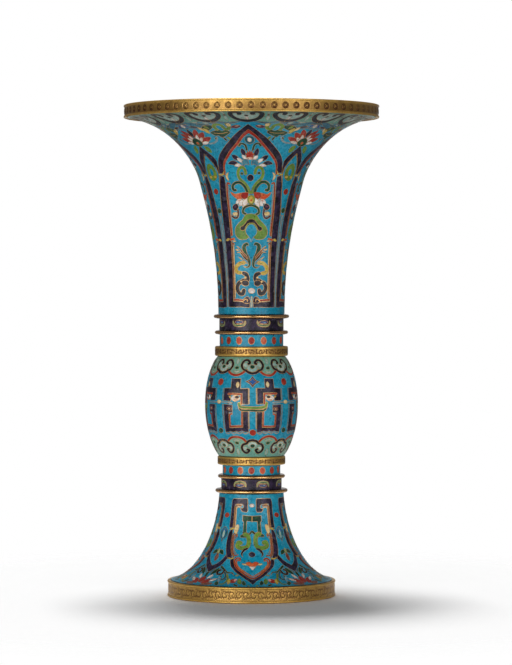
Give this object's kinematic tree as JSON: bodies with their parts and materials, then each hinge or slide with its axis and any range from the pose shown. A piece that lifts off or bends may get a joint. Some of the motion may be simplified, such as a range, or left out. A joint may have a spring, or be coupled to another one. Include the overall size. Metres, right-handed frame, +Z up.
{
  "type": "gu vase",
  "caption": "Cloisonne gu vase: a round beaker with a trumpet mouth, a swelling middle between gilt rings and a spreading foot.",
  "frame": {"origin": "centre of the face that the foot stands on", "axes": "+Z up along the vase's axis, from the foot to the mouth; X and Y lie in the standing face, and -Y faces the camera of the picture"},
  "size_m": [0.146, 0.146, 0.28],
  "materials": {
    "gilt_bronze": "fire-gilt, worn brown in the recesses",
    "copper": "raised sheet, dull",
    "turquoise_enamel": "polished enamel with gilt wires",
    "indigo_enamel": "polished enamel with gilt wires"
  },
  "bodies": {
    "root": {"foot_band": "gilt_bronze", "foot_copper": "copper", "foot_enamel": "turquoise_enamel", "foot_ring_lower": "gilt_bronze", "foot_petal_collar_enamel": "indigo_enamel", "foot_ring_upper": "gilt_bronze", "foot_dot_collar_enamel": "turquoise_enamel", "bulb_band_lower": "gilt_bronze", "vessel_floor": "copper", "bulb_copper": "copper", "bulb_enamel": "turquoise_enamel", "bulb_band_upper": "gilt_bronze", "neck_dot_collar_enamel": "turquoise_enamel", "neck_ring_lower": "gilt_bronze", "neck_petal_collar_enamel": "indigo_enamel", "neck_ring_upper": "gilt_bronze", "neck_copper": "copper", "neck_enamel": "turquoise_enamel", "mouth_lining_enamel": "turquoise_enamel", "lip_band": "gilt_bronze"}
  },
  "joints": []
}
